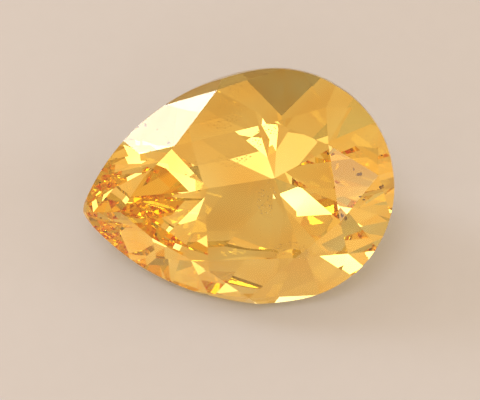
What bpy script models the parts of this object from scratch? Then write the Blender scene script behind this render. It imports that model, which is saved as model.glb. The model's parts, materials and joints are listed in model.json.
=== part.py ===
"""Pear cut yellow sapphire, one solid, lying on one facet of its pavilion.

Lengths are metres and angles are degrees. In the frame of the stone the head
points to +X, the tip to -X and the table faces +Z, with the middle of the
girdle in the plane z = 0 and the centre of the rounded head at the origin.
"""

import math

import bmesh
import bpy
from mathutils import Matrix, Vector

# Outline of the girdle, seen along the normal of the table
LENGTH = 0.0180
WIDTH = 0.0135
TIP_RADIUS = 0.0010
HEAD_STEPS = 44
WING_STEPS = 24
TIP_STEPS = 10

# Heights along the normal of the table
GIRDLE_THICKNESS = 0.00034
CROWN_HEIGHT = 0.00202
PAVILION_DEPTH = 0.00612

# Main facets of the crown: direction of the girdle point from the head axis, slope
CROWN_MAINS = ((29.5, 38.0), (73.0, 36.0), (121.5, 43.5), (138.0, 41.5))
# Part of the crown height between the table and the point of a star facet
STAR_DROP = 0.41
# The same part for the point where the last two mains meet at the tip
TIP_DROP = 0.73
# Place on the head axis from which the corners of the table are set out
TABLE_CENTRE = -0.00135

# Main facets of the pavilion: direction of the girdle point from the head axis
PAVILION_MAINS = (0.0, 49.0, 105.5)
# The last pair towards the tip has a slope of its own and forms the keel
PAVILION_TIP = (137.5, 42.5)
# Part of the pavilion depth covered by the lower girdle facets, and by those at the tip
LOWER_DROP = 0.78
LOWER_TIP_DROP = 0.37
# Place of the culet on the head axis
CULET_SHIFT = -0.00035

# Places of the two girdle facets between neighbouring mains, on the crown and below
UPPER_SPLIT = (0.21, 0.79)
LOWER_SPLIT = (0.34, 0.66)

# Facet of the pavilion that the stone lies on, counted by its direction
REST_DIRECTION = -105.5

# Height that the uncut preform stands past the table and the culet
PREFORM_SPARE = 0.0018
# Points nearer to a cutting plane than this count as lying on it
SNAP = 4.0e-7
MERGE = 8.0e-7

HALF_WIDTH = WIDTH / 2
TIP_REACH = LENGTH - HALF_WIDTH
HALF_GIRDLE = GIRDLE_THICKNESS / 2
TABLE_LEVEL = HALF_GIRDLE + CROWN_HEIGHT
CULET_LEVEL = -HALF_GIRDLE - PAVILION_DEPTH

# Arc of the wing that runs on from the round head and into the round tip
WING_RADIUS = ((TIP_REACH - TIP_RADIUS) ** 2 + HALF_WIDTH**2 - TIP_RADIUS**2) / (
    2 * (HALF_WIDTH - TIP_RADIUS)
)
TIP_DIRECTION = 180 - math.degrees(math.atan2(WING_RADIUS - HALF_WIDTH, TIP_REACH - TIP_RADIUS))


def flat_unit(direction):
    """Unit vector in the girdle plane, turned by this angle from the head axis."""
    angle = math.radians(direction)
    return Vector((math.cos(angle), math.sin(angle), 0.0))


def outline_point(direction):
    """Point of the girdle outline whose outward normal has this direction."""
    direction = (direction + 180) % 360 - 180
    side = 1 if direction >= 0 else -1
    turned = abs(direction)
    unit = flat_unit(turned)
    if turned <= 90:
        point = HALF_WIDTH * unit
    elif turned <= TIP_DIRECTION:
        point = WING_RADIUS * unit + Vector((0.0, HALF_WIDTH - WING_RADIUS, 0.0))
    else:
        point = TIP_RADIUS * unit + Vector((TIP_RADIUS - TIP_REACH, 0.0, 0.0))
    return Vector((point.x, side * point.y, 0.0))


def outline_directions():
    """Directions of the corners that stand around the girdle, once round."""
    head = [-90 + 180 * step / HEAD_STEPS for step in range(HEAD_STEPS + 1)]
    wing_turn = (TIP_DIRECTION - 90) / WING_STEPS
    wing = [90 + wing_turn * step for step in range(1, WING_STEPS + 1)]
    tip_turn = (360 - 2 * TIP_DIRECTION) / TIP_STEPS
    tip = [TIP_DIRECTION + tip_turn * step for step in range(1, TIP_STEPS)]
    return head + wing + tip + [360 - turned for turned in reversed(wing)]


def sloped_plane(direction, slope, level):
    """Plane that touches the girdle outline at one height and slopes inward from it."""
    lift = 1 if level > 0 else -1
    normal = math.sin(math.radians(slope)) * flat_unit(direction)
    normal.z = lift * math.cos(math.radians(slope))
    touch = outline_point(direction)
    touch.z = level
    return touch, normal


def girdle_plane(direction, inner, level):
    """Plane that touches the girdle outline and passes through a point further in."""
    run = (outline_point(direction) - inner).dot(flat_unit(direction))
    slope = math.degrees(math.atan2(abs(inner.z - level), run))
    return sloped_plane(direction, slope, level)


def plane_through(first, second, third):
    """Plane through three points, with its normal away from the middle of the stone."""
    normal = (second - first).cross(third - first).normalized()
    if normal.dot(first) < 0:
        normal.negate()
    return first, normal


def point_between(first, second, level):
    """Point where two sloping planes and a level meet."""
    normals = (first[1], second[1])
    rests = [plane[1].dot(plane[0]) - plane[1].z * level for plane in (first, second)]
    span = normals[0].x * normals[1].y - normals[1].x * normals[0].y
    x = (rests[0] * normals[1].y - rests[1] * normals[0].y) / span
    y = (normals[0].x * rests[1] - normals[1].x * rests[0]) / span
    return Vector((x, y, level))


def mirrored(mains):
    """Mains of both sides in order round the stone, from those given for one side."""
    right = [(-direction, slope) for direction, slope in reversed(mains) if direction > 0]
    return right + list(mains)


def neighbours(mains):
    """Pairs of numbers of mains that lie next to each other, once round."""
    return [(number, (number + 1) % len(mains)) for number in range(len(mains))]


def split_directions(first, second, split):
    """Directions of the two girdle facets between two mains."""
    turn = (second - first) % 360
    return [first + share * turn for share in split]


def table_corner(main, plane):
    """Corner of the table on a main facet, on the line from the table centre to the girdle."""
    centre = Vector((TABLE_CENTRE, 0.0, TABLE_LEVEL))
    outward = outline_point(main[0])
    outward.x -= TABLE_CENTRE
    reach = (plane[0] - centre).dot(plane[1]) / outward.dot(plane[1])
    return centre + reach * outward


def crown_planes():
    """Planes of the crown: mains, stars, upper girdle facets and the table."""
    mains = mirrored(CROWN_MAINS)
    planes = [sloped_plane(direction, slope, HALF_GIRDLE) for direction, slope in mains]
    corners = [table_corner(main, plane) for main, plane in zip(mains, planes)]
    others = []
    for here, there in neighbours(mains):
        at_tip = there == 0
        drop = TIP_DROP if at_tip else STAR_DROP
        meet = point_between(planes[here], planes[there], TABLE_LEVEL - drop * CROWN_HEIGHT)
        if not at_tip:
            others.append(plane_through(corners[here], corners[there], meet))
        for direction in split_directions(mains[here][0], mains[there][0], UPPER_SPLIT):
            others.append(girdle_plane(direction, meet, HALF_GIRDLE))
    table = (Vector((0.0, 0.0, TABLE_LEVEL)), Vector((0.0, 0.0, 1.0)))
    return planes + others + [table]


def culet_slope(direction):
    """Slope of a pavilion main that touches the girdle and passes through the culet."""
    run = (outline_point(direction) - Vector((CULET_SHIFT, 0.0, 0.0))).dot(flat_unit(direction))
    return math.degrees(math.atan2(PAVILION_DEPTH, run))


def pavilion_mains():
    """Direction and slope of every main of the pavilion."""
    through_culet = [(direction, culet_slope(direction)) for direction in PAVILION_MAINS]
    return mirrored(through_culet + [PAVILION_TIP])


def pavilion_planes():
    """Planes of the pavilion: mains and lower girdle facets."""
    mains = pavilion_mains()
    planes = [sloped_plane(direction, slope, -HALF_GIRDLE) for direction, slope in mains]
    others = []
    for here, there in neighbours(mains):
        drop = LOWER_TIP_DROP if there == 0 else LOWER_DROP
        level = -HALF_GIRDLE - drop * PAVILION_DEPTH
        meet = point_between(planes[here], planes[there], level)
        for direction in split_directions(mains[here][0], mains[there][0], LOWER_SPLIT):
            others.append(girdle_plane(direction, meet, -HALF_GIRDLE))
    return planes + others


def preform_mesh():
    """Pear shaped prism a little taller than the stone, before any facet is cut."""
    outline = bpy.data.curves.new("pear outline", "CURVE")
    outline.dimensions = "2D"
    outline.fill_mode = "BOTH"
    outline.extrude = (TABLE_LEVEL - CULET_LEVEL) / 2 + PREFORM_SPARE
    directions = outline_directions()
    loop = outline.splines.new("POLY")
    loop.points.add(len(directions) - 1)
    for point, direction in zip(loop.points, directions):
        point.co = (*outline_point(direction), 1.0)
    loop.use_cyclic_u = True
    blank = bpy.data.objects.new("preform", outline)
    blank.location.z = (TABLE_LEVEL + CULET_LEVEL) / 2
    bpy.context.scene.collection.objects.link(blank)
    depsgraph = bpy.context.evaluated_depsgraph_get()
    mesh = bpy.data.meshes.new_from_object(blank.evaluated_get(depsgraph))
    mesh.transform(blank.matrix_world)
    bpy.data.objects.remove(blank)
    return mesh


def cut(shape, plane):
    """Take away what lies outside one plane and close the stone with a flat facet."""
    everything = shape.verts[:] + shape.edges[:] + shape.faces[:]
    done = bmesh.ops.bisect_plane(
        shape,
        geom=everything,
        dist=SNAP,
        plane_co=plane[0],
        plane_no=plane[1],
        clear_outer=True,
    )
    rim = [item for item in done["geom_cut"] if isinstance(item, bmesh.types.BMEdge)]
    open_rim = [edge for edge in rim if edge.is_boundary]
    if open_rim:
        bmesh.ops.edgeloop_fill(shape, edges=open_rim)


def resting_turn():
    """Turn that lays the chosen pavilion main flat and points the head along +X."""
    slope = culet_slope(REST_DIRECTION)
    normal = sloped_plane(REST_DIRECTION, slope, -HALF_GIRDLE)[1]
    lay = normal.rotation_difference(Vector((0.0, 0.0, -1.0))).to_matrix()
    head = lay @ Vector((1.0, 0.0, 0.0))
    straighten = Matrix.Rotation(-math.atan2(head.y, head.x), 3, "Z")
    return straighten @ lay


def rest_on_ground(shape):
    """Lay the stone down with its box centred over the origin and its facet at z = 0."""
    bmesh.ops.rotate(shape, verts=shape.verts[:], cent=(0.0, 0.0, 0.0), matrix=resting_turn())
    low = Vector([min(corner.co[axis] for corner in shape.verts) for axis in range(3)])
    high = Vector([max(corner.co[axis] for corner in shape.verts) for axis in range(3)])
    middle = (low + high) / 2
    bmesh.ops.translate(shape, verts=shape.verts[:], vec=(-middle.x, -middle.y, -low.z))


def stone_mesh():
    """Faceted stone cut out of its preform and laid on the ground."""
    shape = bmesh.new()
    preform = preform_mesh()
    shape.from_mesh(preform)
    bpy.data.meshes.remove(preform)
    bmesh.ops.remove_doubles(shape, verts=shape.verts[:], dist=MERGE)
    for plane in pavilion_planes() + crown_planes():
        cut(shape, plane)
    bmesh.ops.remove_doubles(shape, verts=shape.verts[:], dist=MERGE)
    bmesh.ops.dissolve_degenerate(shape, edges=shape.edges[:], dist=MERGE)
    rest_on_ground(shape)
    bmesh.ops.recalc_face_normals(shape, faces=shape.faces[:])
    mesh = bpy.data.meshes.new("sapphire")
    shape.to_mesh(mesh)
    shape.free()
    return mesh


def stone_material():
    """Clear golden yellow crystal."""
    material = bpy.data.materials.new("yellow sapphire")
    material.use_nodes = True
    shader = material.node_tree.nodes["Principled BSDF"]
    shader.inputs["Base Color"].default_value = (1.0, 0.78, 0.32, 1.0)
    shader.inputs["Roughness"].default_value = 0.02
    shader.inputs["IOR"].default_value = 1.77
    shader.inputs["Transmission Weight"].default_value = 1.0
    return material


def main():
    """Clear the scene and put the stone in a collection of its own."""
    for item in list(bpy.data.objects):
        bpy.data.objects.remove(item)
    collection = bpy.data.collections.new("sapphire")
    bpy.context.scene.collection.children.link(collection)
    stone = bpy.data.objects.new("sapphire", stone_mesh())
    stone.data.materials.append(stone_material())
    collection.objects.link(stone)


main()
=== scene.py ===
"""Looks of a pear cut yellow sapphire that lies on a pale studio floor.

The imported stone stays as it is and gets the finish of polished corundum. Small
crystals and healed fissures sit inside it, as they do in most natural stones.
Lengths are metres, and sizes and places follow the box of the stone.
"""

import json
import math
import random

import bmesh
import bpy
from bpy.props import FloatProperty, FloatVectorProperty, IntProperty, PointerProperty
from mathutils import Matrix, Vector


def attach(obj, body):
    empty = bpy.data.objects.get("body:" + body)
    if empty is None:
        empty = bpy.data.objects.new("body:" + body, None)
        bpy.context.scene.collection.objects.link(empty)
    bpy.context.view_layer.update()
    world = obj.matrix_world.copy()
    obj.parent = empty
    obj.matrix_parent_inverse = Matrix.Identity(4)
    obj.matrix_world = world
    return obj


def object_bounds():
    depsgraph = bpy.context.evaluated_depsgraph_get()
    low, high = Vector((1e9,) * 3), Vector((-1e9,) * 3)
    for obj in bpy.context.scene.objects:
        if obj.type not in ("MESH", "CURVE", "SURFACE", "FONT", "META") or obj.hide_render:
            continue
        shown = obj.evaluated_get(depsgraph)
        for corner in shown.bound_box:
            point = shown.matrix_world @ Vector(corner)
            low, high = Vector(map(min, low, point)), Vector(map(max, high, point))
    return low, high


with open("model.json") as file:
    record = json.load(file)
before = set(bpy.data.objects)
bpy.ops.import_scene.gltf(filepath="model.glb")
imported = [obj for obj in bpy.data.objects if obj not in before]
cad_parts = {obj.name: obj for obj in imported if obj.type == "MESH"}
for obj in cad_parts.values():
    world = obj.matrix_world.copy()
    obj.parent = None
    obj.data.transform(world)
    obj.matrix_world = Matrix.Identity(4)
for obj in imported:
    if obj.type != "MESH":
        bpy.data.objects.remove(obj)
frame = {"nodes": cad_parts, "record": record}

bl_info = {
    "name": "Pear cut sapphire",
    "version": (1, 0, 0),
    "blender": (4, 5, 0),
    "location": "View3D > Sidebar > Sapphire",
    "description": "Finish, inclusions, studio and camera for a faceted yellow sapphire",
    "category": "Object",
}

STONE = "sapphire"
CAD_LOW, CAD_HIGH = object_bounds()
STONE_CENTRE = (CAD_LOW + CAD_HIGH) / 2
TABLE_MOUNT = next(mount for mount in frame["record"]["mounts"] if mount["name"] == "table")
TABLE_NORMAL = Vector(TABLE_MOUNT["axis"]).normalized()
TABLE_CENTRE = Vector(TABLE_MOUNT["pos_m"])
# Directions in the plane of the table: along the stone to its head, and across it
TABLE_ALONG = (Vector((1.0, 0.0, 0.0)) - TABLE_NORMAL.x * TABLE_NORMAL).normalized()
TABLE_ACROSS = TABLE_NORMAL.cross(TABLE_ALONG)

# Growth bands of the crystal: their turn against the stone and their spacing
GROWTH_TURN = (math.radians(12), math.radians(35), math.radians(64))
GROWTH_BAND = 0.0024
# A wave texture of scale 1 repeats this often over one unit
WAVE_PERIODS = 20 / math.tau
# Patches of the last polish and how far they stand apart in height
POLISH_PATCH = 0.0016
POLISH_RELIEF = 0.0000004

# Unevenness of the droplets' films and of the etched faces of closed-in grains
FILM_PATCH = 0.00009
ETCHED_PATCH = 0.00006
ETCHED_DEPTH = 0.000006
# Fibres of the backdrop paper and how much darker the gaps between them are
PAPER_FIBRE = 0.0012
PAPER_SHADE = 0.97

# Healed fissures: name, middle along, across and below the table, radius of the
# innermost row, number of rows, first angle, sweep and slope
FISSURES = (
    ("healed_fissure", (0.0029, -0.0003, 0.0015), 0.0002, 6, 1.9, 2.6, 0.3),
    ("growth_veil", (0.0036, -0.0046, 0.0015), 0.0013, 4, 0.9, 1.5, -0.2),
)
# Closed-in crystals: along, across and below the table, and size
CRYSTALS = (
    (0.0074, 0.0010, 0.0019, 1.0),
    (0.0071, 0.0013, 0.0018, 0.6),
    (0.0085, 0.0003, 0.0020, 0.7),
    (0.0074, -0.0003, 0.0020, 0.5),
    (0.0064, -0.0013, 0.0015, 0.8),
)
GRAIN_CORNERS = 14
# Width and thickness of a closed-in crystal against its length
GRAIN_WIDTH = 0.6
GRAIN_THICKNESS = 0.5
# Least and greatest size of a droplet against the largest one, its length and width
# against its size, and its thickness
DROPLET_SIZES = (0.35, 1.0)
DROPLET_LENGTHS = (0.5, 1.0)
DROPLET_WIDTHS = (0.3, 0.6)
DROPLET_FLATNESS = 0.35
# How far a droplet strays from its place in the row, against the spacing
DROPLET_STRAY = 0.3

# Width of the camera's sensor, the nearest distance that it sees, and how many
# millimetres a metre has
SENSOR_WIDTH = 0.036
NEAREST_SEEN = 0.01
MILLIMETRES = 1000

# The floor lies a hair below the stone, so that light can leave the facet it rests on
FLOOR_SIZE = 1.2
FLOOR_DROP = 0.00005
LIGHT_DISTANCE = 0.5
# Light that enters the stone can cross it this often, and single stray rays count at
# most this bright
INNER_BOUNCES = 96
BRIGHTEST_INDIRECT = 20.0
# Softboxes: name, turn from +X and height in degrees, width and length as seen from
# the stone, and brightness against the key light
SOFTBOXES = (
    ("key softbox", 151.8, 28.0, 10.4, 22.0, 1.0),
    ("second key softbox", 142.9, 28.0, 7.0, 22.0, 0.4),
    ("rear softbox", 117.0, 54.0, 16.0, 12.0, 0.3),
    ("overhead softbox", 220.0, 79.0, 27.0, 22.0, 0.3),
    ("front softbox", 277.0, 41.0, 10.0, 8.0, 0.4),
    ("low left softbox", 226.0, 9.0, 28.0, 13.0, 0.45),
    ("left softbox", 207.0, 18.0, 8.0, 6.0, 0.06),
    ("right softbox", 358.0, 24.0, 12.0, 34.0, 0.25),
    ("near right softbox", 301.0, 38.0, 10.0, 8.0, 0.15),
)


def colour_from_hex(text):
    """Linear colour, with alpha, of an sRGB hex value."""
    shares = [int(text[place : place + 2], 16) / 255 for place in (0, 2, 4)]
    linear = [
        share / 12.92 if share <= 0.04045 else ((share + 0.055) / 1.055) ** 2.4
        for share in shares
    ]
    return (*linear, 1.0)


# Warm light that the walls of a room with cream paint and lamps throw back
ROOM_TINT = colour_from_hex("FFDAAA")


class StoneSettings(bpy.types.PropertyGroup):
    """Finish of the stone."""

    refraction: FloatProperty(
        name="Refraction",
        description="Index of refraction of corundum",
        default=1.77,
        min=1.0,
        max=2.5,
    )
    polish: FloatProperty(
        name="Polish roughness",
        description="Roughness that the last polish leaves on the facets",
        default=0.0,
        min=0.0,
        max=0.15,
        subtype="FACTOR",
    )
    body_colour: FloatVectorProperty(
        name="Body colour",
        description="Colour that the crystal lets through",
        subtype="COLOR",
        size=4,
        min=0.0,
        max=1.0,
        default=colour_from_hex("FEF9DA"),
    )
    colour_depth: FloatProperty(
        name="Colour depth",
        description="How strongly a metre of the crystal takes up light",
        default=260.0,
        min=0.0,
        soft_max=400.0,
    )


class InclusionSettings(bpy.types.PropertyGroup):
    """Small things that the crystal closed in as it grew."""

    droplet: FloatProperty(
        name="Droplet",
        description="Length of the largest droplets in the healed fissures",
        default=0.00017,
        min=0.00001,
        subtype="DISTANCE",
        unit="LENGTH",
    )
    droplet_spacing: FloatProperty(
        name="Droplet spacing",
        description="Distance between the rows of droplets",
        default=0.00018,
        min=0.00005,
        subtype="DISTANCE",
        unit="LENGTH",
    )
    crystal: FloatProperty(
        name="Crystal",
        description="Length of the largest closed-in crystals",
        default=0.00045,
        min=0.00005,
        subtype="DISTANCE",
        unit="LENGTH",
    )
    seed: IntProperty(
        name="Scatter seed",
        description="Number that sets the scatter of the inclusions",
        default=11,
        min=0,
    )


class StudioSettings(bpy.types.PropertyGroup):
    """Floor and lights."""

    floor_colour: FloatVectorProperty(
        name="Floor colour",
        description="Colour of the plain pale floor",
        subtype="COLOR",
        size=4,
        min=0.0,
        max=1.0,
        default=colour_from_hex("D6DBE9"),
    )
    key_radiance: FloatProperty(
        name="Key light",
        description="Brightness of the face of the key softbox",
        default=7.0,
        min=0.0,
    )
    wall_radiance: FloatProperty(
        name="Wall light",
        description="Brightness of the walls of the room",
        default=1.11,
        min=0.0,
    )
    ceiling_radiance: FloatProperty(
        name="Ceiling light",
        description="Brightness of the ceiling of the room",
        default=0.63,
        min=0.0,
    )


class CameraSettings(bpy.types.PropertyGroup):
    """View of the stone."""

    azimuth: FloatProperty(
        name="Azimuth",
        description="Turn of the camera round the stone, from a view along +Y",
        default=math.radians(-2.7),
        subtype="ANGLE",
        unit="ROTATION",
    )
    elevation: FloatProperty(
        name="Elevation",
        description="Height of the camera above the horizon",
        default=math.radians(59.2),
        subtype="ANGLE",
        unit="ROTATION",
    )
    distance: FloatProperty(
        name="Distance",
        description="Distance from the camera to the middle of the stone",
        default=0.20,
        min=0.05,
        subtype="DISTANCE",
        unit="LENGTH",
    )
    view_width: FloatProperty(
        name="View width",
        description="Width that the camera sees at the stone",
        default=0.02743,
        min=0.005,
        subtype="DISTANCE",
        unit="LENGTH",
    )
    aim_right: FloatProperty(
        name="Aim right",
        description="How far right of the stone's middle the camera points",
        default=0.000104,
        subtype="DISTANCE",
        unit="LENGTH",
    )
    aim_up: FloatProperty(
        name="Aim up",
        description="How far above the stone's middle the camera points",
        default=-0.00064,
        subtype="DISTANCE",
        unit="LENGTH",
    )


def by_name(sockets):
    """Sockets of a node under their names and, where names repeat, their identifiers."""
    named = {socket.name: socket for socket in sockets}
    named.update({socket.identifier: socket for socket in sockets})
    return named


def add_node(tree, kind, settings=(), links=()):
    """Add a node, set its inputs or properties, and link inputs to (node, output) pairs."""
    node = tree.nodes.new(kind)
    inputs = by_name(node.inputs)
    for name, value in dict(settings).items():
        if name in inputs:
            inputs[name].default_value = value
        else:
            setattr(node, name, value)
    for name, (source, output) in dict(links).items():
        tree.links.new(by_name(source.outputs)[output], inputs[name])
    return node


def new_material(name):
    """Empty node material and its output node."""
    material = bpy.data.materials.new(name)
    material.use_nodes = True
    material.node_tree.nodes.clear()
    output = add_node(material.node_tree, "ShaderNodeOutputMaterial")
    return material, output


def polished_corundum(settings):
    """Yellow corundum, cut on a lap and polished with fine diamond.

    It gives a mirror-bright, glassy surface over a clear golden body that turns
    deeper where the light has gone further. Growth bands tint it a little, and
    the last polish leaves lines too shallow to dull it.
    """
    material, output = new_material("polished yellow corundum")
    tree = material.node_tree
    place = add_node(tree, "ShaderNodeTexCoord")
    along_growth = add_node(
        tree,
        "ShaderNodeMapping",
        {"Rotation": GROWTH_TURN},
        {"Vector": (place, "Object")},
    )
    bands = add_node(
        tree,
        "ShaderNodeTexWave",
        {
            "wave_type": "BANDS",
            "bands_direction": "X",
            "Scale": 1 / (WAVE_PERIODS * GROWTH_BAND),
            "Distortion": 1.5,
            "Detail": 2.0,
            "Detail Scale": 0.6,
        },
        {"Vector": (along_growth, "Vector")},
    )
    tint = add_node(
        tree,
        "ShaderNodeMix",
        {
            "data_type": "RGBA",
            "A_Color": colour_from_hex("FFFFFF"),
            "B_Color": colour_from_hex("FFECC6"),
        },
        {"Factor_Float": (bands, "Fac")},
    )
    lines = add_node(
        tree,
        "ShaderNodeTexNoise",
        {"Scale": 1 / POLISH_PATCH, "Detail": 2.0},
        {"Vector": (place, "Object")},
    )
    relief = add_node(
        tree,
        "ShaderNodeBump",
        {"Strength": 1.0, "Distance": POLISH_RELIEF},
        {"Height": (lines, "Fac")},
    )
    shader = add_node(
        tree,
        "ShaderNodeBsdfPrincipled",
        {
            "Roughness": settings.polish,
            "IOR": settings.refraction,
            "Transmission Weight": 1.0,
        },
        {"Base Color": (tint, "Result_Color"), "Normal": (relief, "Normal")},
    )
    depth = add_node(
        tree,
        "ShaderNodeVolumeAbsorption",
        {"Color": settings.body_colour, "Density": settings.colour_depth},
    )
    tree.links.new(shader.outputs["BSDF"], output.inputs["Surface"])
    tree.links.new(depth.outputs["Volume"], output.inputs["Volume"])
    return material


def fissure_glass():
    """Glassy residue left in tiny droplets where a fissure of the crystal healed.

    Each droplet bends light a little less than the crystal round it, so the
    rows read as a faint mottled veil.
    """
    material, output = new_material("glass in a healed fissure")
    tree = material.node_tree
    place = add_node(tree, "ShaderNodeTexCoord")
    film = add_node(
        tree,
        "ShaderNodeTexNoise",
        {"Scale": 1 / FILM_PATCH, "Detail": 2.0},
        {"Vector": (place, "Object")},
    )
    tint = add_node(
        tree,
        "ShaderNodeMix",
        {
            "data_type": "RGBA",
            "A_Color": colour_from_hex("FFFFFF"),
            "B_Color": colour_from_hex("E2C694"),
        },
        {"Factor_Float": (film, "Fac")},
    )
    shader = add_node(
        tree,
        "ShaderNodeBsdfPrincipled",
        {"Roughness": 0.15, "IOR": 1.50, "Transmission Weight": 0.9},
        {"Base Color": (tint, "Result_Color")},
    )
    tree.links.new(shader.outputs["BSDF"], output.inputs["Surface"])
    return material


def enclosed_mineral():
    """Grains of apatite that the sapphire grew round.

    They give small milky, slightly brown bodies whose etched faces scatter light.
    """
    material, output = new_material("enclosed apatite grains")
    tree = material.node_tree
    place = add_node(tree, "ShaderNodeTexCoord")
    etching = add_node(
        tree,
        "ShaderNodeTexNoise",
        {"Scale": 1 / ETCHED_PATCH, "Detail": 4.0},
        {"Vector": (place, "Object")},
    )
    tint = add_node(
        tree,
        "ShaderNodeMix",
        {
            "data_type": "RGBA",
            "A_Color": colour_from_hex("D9B983"),
            "B_Color": colour_from_hex("9C6B33"),
        },
        {"Factor_Float": (etching, "Fac")},
    )
    relief = add_node(
        tree,
        "ShaderNodeBump",
        {"Strength": 0.6, "Distance": ETCHED_DEPTH},
        {"Height": (etching, "Fac")},
    )
    shader = add_node(
        tree,
        "ShaderNodeBsdfPrincipled",
        {"Roughness": 0.3, "IOR": 1.64, "Transmission Weight": 0.4},
        {"Base Color": (tint, "Result_Color"), "Normal": (relief, "Normal")},
    )
    tree.links.new(shader.outputs["BSDF"], output.inputs["Surface"])
    return material


def matt_floor(settings):
    """Backdrop paper, smooth and matt.

    It gives an even pale ground with no gloss, on which the stone's shadow and
    the light that it gathers can show.
    """
    material, output = new_material("matt backdrop paper")
    tree = material.node_tree
    place = add_node(tree, "ShaderNodeTexCoord")
    fibres = add_node(
        tree,
        "ShaderNodeTexNoise",
        {"Scale": 1 / PAPER_FIBRE, "Detail": 3.0},
        {"Vector": (place, "Object")},
    )
    deeper = [channel * PAPER_SHADE for channel in settings.floor_colour[:3]]
    shade = add_node(
        tree,
        "ShaderNodeMix",
        {"data_type": "RGBA", "A_Color": (*deeper, 1.0), "B_Color": settings.floor_colour},
        {"Factor_Float": (fibres, "Fac")},
    )
    shader = add_node(
        tree,
        "ShaderNodeBsdfPrincipled",
        {"Roughness": 0.9, "Specular IOR Level": 0.1},
        {"Base Color": (shade, "Result_Color")},
    )
    tree.links.new(shader.outputs["BSDF"], output.inputs["Surface"])
    return material


def compass(turn, height):
    """Unit vector from the stone, turned from +X towards +Y and raised above the floor."""
    turn = math.radians(turn)
    height = math.radians(height)
    return Vector(
        (
            math.cos(height) * math.cos(turn),
            math.cos(height) * math.sin(turn),
            math.sin(height),
        )
    )


def soft_room(settings):
    """Light of a pale room, with walls brighter than its ceiling."""
    world = bpy.data.worlds.new("room")
    world.use_nodes = True
    tree = world.node_tree
    tree.nodes.clear()
    output = add_node(tree, "ShaderNodeOutputWorld")
    place = add_node(tree, "ShaderNodeTexCoord")
    parts = add_node(tree, "ShaderNodeSeparateXYZ", (), {"Vector": (place, "Generated")})
    shade = add_node(
        tree,
        "ShaderNodeMix",
        {
            "data_type": "RGBA",
            "A_Color": [channel * settings.wall_radiance for channel in ROOM_TINT],
            "B_Color": [channel * settings.ceiling_radiance for channel in ROOM_TINT],
        },
        {"Factor_Float": (parts, "Z")},
    )
    light = add_node(
        tree, "ShaderNodeBackground", {"Strength": 1.0}, {"Color": (shade, "Result_Color")}
    )
    tree.links.new(light.outputs["Background"], output.inputs["Surface"])
    return world


def add_softbox(name, turn, height, width, length, radiance):
    """Rectangular lamp that faces the stone, of this angular size and brightness."""
    lamp = bpy.data.lights.new(name, "AREA")
    lamp.shape = "RECTANGLE"
    lamp.size = 2 * LIGHT_DISTANCE * math.tan(math.radians(width / 2))
    lamp.size_y = 2 * LIGHT_DISTANCE * math.tan(math.radians(length / 2))
    lamp.energy = radiance * math.pi * lamp.size * lamp.size_y
    direction = compass(turn, height)
    item = bpy.data.objects.new(name, lamp)
    item.location = STONE_CENTRE + LIGHT_DISTANCE * direction
    item.rotation_euler = direction.to_track_quat("Z", "Y").to_euler()
    bpy.context.scene.collection.objects.link(item)
    return item


class SAPPHIRE_OT_finish_stone(bpy.types.Operator):
    """Give the stone its polish, its colour and the way that it bends light"""

    bl_idname = "sapphire.finish_stone"
    bl_label = "Finish stone"

    def execute(self, context):
        stone = frame["nodes"][STONE]
        settings = context.scene.sapphire_stone
        stone.data.materials.clear()
        stone.data.materials.append(polished_corundum(settings))
        return {"FINISHED"}


def inside(along, across, depth):
    """Point in the stone, from the middle of the table and this far below it."""
    return TABLE_CENTRE + along * TABLE_ALONG + across * TABLE_ACROSS - depth * TABLE_NORMAL


def droplet_blob(shape, place, size, draw):
    """Flat, rounded droplet that lies in the plane of its fissure."""
    facing = TABLE_NORMAL.to_track_quat("Z", "Y").to_matrix()
    turn = facing @ Matrix.Rotation(draw.uniform(0, math.tau), 3, "Z")
    length = size * draw.uniform(*DROPLET_LENGTHS)
    width = size * draw.uniform(*DROPLET_WIDTHS)
    spread = Matrix.Diagonal((length, width, size * DROPLET_FLATNESS))
    seat = Matrix.Translation(place) @ (turn @ spread).to_4x4()
    bmesh.ops.create_icosphere(shape, subdivisions=1, radius=0.5, matrix=seat)


def crystal_grain(shape, place, size, draw):
    """Small crystal with flat faces, the hull of a few points on a stretched ball."""
    turn = Matrix.Rotation(draw.uniform(0, math.tau), 3, TABLE_NORMAL)
    corners = []
    for _ in range(GRAIN_CORNERS):
        point = Vector([draw.gauss(0, 1) for _ in range(3)]).normalized() * size / 2
        point = turn @ Vector((point.x, point.y * GRAIN_WIDTH, point.z * GRAIN_THICKNESS))
        corners.append(shape.verts.new(place + point))
    hull = bmesh.ops.convex_hull(shape, input=corners)
    spare = [item for item in hull["geom_interior"] if isinstance(item, bmesh.types.BMVert)]
    bmesh.ops.delete(shape, geom=spare, context="VERTS")


def joined_piece(name, shape, material):
    """Object of its own that rides with the stone and takes its slot."""
    bmesh.ops.recalc_face_normals(shape, faces=shape.faces[:])
    mesh = bpy.data.meshes.new(name)
    shape.to_mesh(mesh)
    shape.free()
    mesh.materials.append(material)
    piece = bpy.data.objects.new(name, mesh)
    bpy.context.scene.collection.objects.link(piece)
    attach(piece, "root")
    return piece


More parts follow.
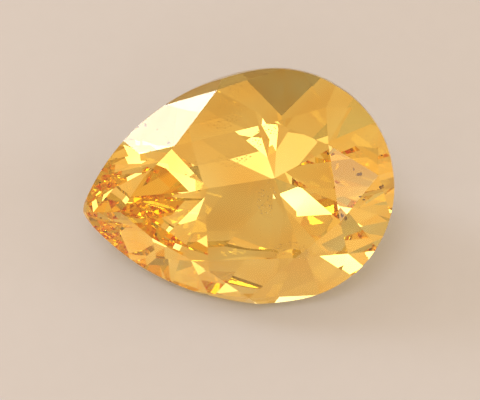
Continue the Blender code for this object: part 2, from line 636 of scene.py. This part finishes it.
class SAPPHIRE_OT_add_inclusions(bpy.types.Operator):
    """Close the healed fissures and the small crystals into the stone"""

    bl_idname = "sapphire.add_inclusions"
    bl_label = "Add inclusions"

    def execute(self, context):
        settings = context.scene.sapphire_inclusions
        draw = random.Random(settings.seed)
        glass = fissure_glass()
        for name, middle, inner, rows, start, sweep, tilt in FISSURES:
            shape = bmesh.new()
            for row in range(rows):
                radius = inner + row * settings.droplet_spacing
                step = settings.droplet_spacing / radius
                for count in range(int(sweep / step)):
                    stray_turn = draw.uniform(-DROPLET_STRAY, DROPLET_STRAY)
                    stray_reach = draw.uniform(-DROPLET_STRAY, DROPLET_STRAY)
                    angle = start + count * step + stray_turn * step
                    reach = radius + stray_reach * settings.droplet_spacing
                    along, across, depth = middle
                    aside = Vector((math.cos(angle), math.sin(angle))) * reach
                    place = inside(along + aside.x, across + aside.y, depth + tilt * aside.y)
                    size = settings.droplet * draw.uniform(*DROPLET_SIZES)
                    droplet_blob(shape, place, size, draw)
            joined_piece(name, shape, glass)
        shape = bmesh.new()
        for along, across, depth, share in CRYSTALS:
            crystal_grain(shape, inside(along, across, depth), share * settings.crystal, draw)
        joined_piece("included_crystals", shape, enclosed_mineral())
        return {"FINISHED"}


class SAPPHIRE_OT_build_studio(bpy.types.Operator):
    """Lay the floor and set up the softboxes and the light of the room"""

    bl_idname = "sapphire.build_studio"
    bl_label = "Build studio"

    def execute(self, context):
        settings = context.scene.sapphire_studio
        sheet = bpy.data.meshes.new("floor")
        shape = bmesh.new()
        bmesh.ops.create_grid(shape, x_segments=1, y_segments=1, size=FLOOR_SIZE / 2)
        shape.to_mesh(sheet)
        shape.free()
        floor = bpy.data.objects.new("floor", sheet)
        sheet.materials.append(matt_floor(settings))
        floor.location.z = -FLOOR_DROP
        context.scene.collection.objects.link(floor)
        for name, turn, height, width, length, share in SOFTBOXES:
            add_softbox(name, turn, height, width, length, share * settings.key_radiance)
        context.scene.world = soft_room(settings)
        context.scene.view_settings.view_transform = "Standard"
        return {"FINISHED"}


class SAPPHIRE_OT_place_camera(bpy.types.Operator):
    """Look at the stone from the photograph's side and height"""

    bl_idname = "sapphire.place_camera"
    bl_label = "Place camera"

    def execute(self, context):
        settings = context.scene.sapphire_camera
        lens = bpy.data.cameras.new("camera")
        camera = bpy.data.objects.new("camera", lens)
        context.scene.collection.objects.link(camera)
        towards = compass(math.degrees(settings.azimuth) - 90, math.degrees(settings.elevation))
        turn = towards.to_track_quat("Z", "Y")
        aside = turn @ Vector((settings.aim_right, settings.aim_up, 0.0))
        camera.location = STONE_CENTRE + aside + settings.distance * towards
        camera.rotation_euler = turn.to_euler()
        lens.sensor_fit = "HORIZONTAL"
        lens.sensor_width = SENSOR_WIDTH * MILLIMETRES
        lens.lens = lens.sensor_width * settings.distance / settings.view_width
        lens.clip_start = NEAREST_SEEN
        context.scene.camera = camera
        return {"FINISHED"}


class SAPPHIRE_PT_panel(bpy.types.Panel):
    """Steps that build the look of the stone"""

    bl_label = "Sapphire"
    bl_idname = "SAPPHIRE_PT_panel"
    bl_space_type = "VIEW_3D"
    bl_region_type = "UI"
    bl_category = "Sapphire"

    def draw(self, context):
        layout = self.layout
        for settings, names, step in PANEL_ROWS:
            column = layout.column(align=True)
            for name in names:
                column.prop(getattr(context.scene, settings), name)
            column.operator(step)


PANEL_ROWS = (
    (
        "sapphire_stone",
        ("refraction", "polish", "body_colour", "colour_depth"),
        SAPPHIRE_OT_finish_stone.bl_idname,
    ),
    (
        "sapphire_inclusions",
        ("droplet", "droplet_spacing", "crystal", "seed"),
        SAPPHIRE_OT_add_inclusions.bl_idname,
    ),
    (
        "sapphire_studio",
        ("floor_colour", "key_radiance", "wall_radiance", "ceiling_radiance"),
        SAPPHIRE_OT_build_studio.bl_idname,
    ),
    (
        "sapphire_camera",
        ("azimuth", "elevation", "distance", "view_width", "aim_right", "aim_up"),
        SAPPHIRE_OT_place_camera.bl_idname,
    ),
)

CLASSES = (
    StoneSettings,
    InclusionSettings,
    StudioSettings,
    CameraSettings,
    SAPPHIRE_OT_finish_stone,
    SAPPHIRE_OT_add_inclusions,
    SAPPHIRE_OT_build_studio,
    SAPPHIRE_OT_place_camera,
    SAPPHIRE_PT_panel,
)


def register():
    """Register the classes and hang the settings on the scene."""
    for kind in CLASSES:
        bpy.utils.register_class(kind)
    bpy.types.Scene.sapphire_stone = PointerProperty(type=StoneSettings)
    bpy.types.Scene.sapphire_inclusions = PointerProperty(type=InclusionSettings)
    bpy.types.Scene.sapphire_studio = PointerProperty(type=StudioSettings)
    bpy.types.Scene.sapphire_camera = PointerProperty(type=CameraSettings)


def unregister():
    """Undo what register did."""
    del bpy.types.Scene.sapphire_camera
    del bpy.types.Scene.sapphire_studio
    del bpy.types.Scene.sapphire_inclusions
    del bpy.types.Scene.sapphire_stone
    for kind in reversed(CLASSES):
        bpy.utils.unregister_class(kind)


def trace_light_through_stone(scene):
    """Let light bounce inside the stone until it finds a way out."""
    scene.cycles.max_bounces = INNER_BOUNCES
    scene.cycles.transmission_bounces = INNER_BOUNCES
    scene.cycles.glossy_bounces = INNER_BOUNCES
    scene.cycles.caustics_refractive = True
    scene.cycles.caustics_reflective = True
    scene.cycles.sample_clamp_indirect = BRIGHTEST_INDIRECT


def main():
    """Build the look step by step."""
    register()
    bpy.ops.sapphire.finish_stone()
    bpy.ops.sapphire.add_inclusions()
    bpy.ops.sapphire.build_studio()
    bpy.ops.sapphire.place_camera()
    trace_light_through_stone(bpy.context.scene)


if __name__ == "__main__":
    main()
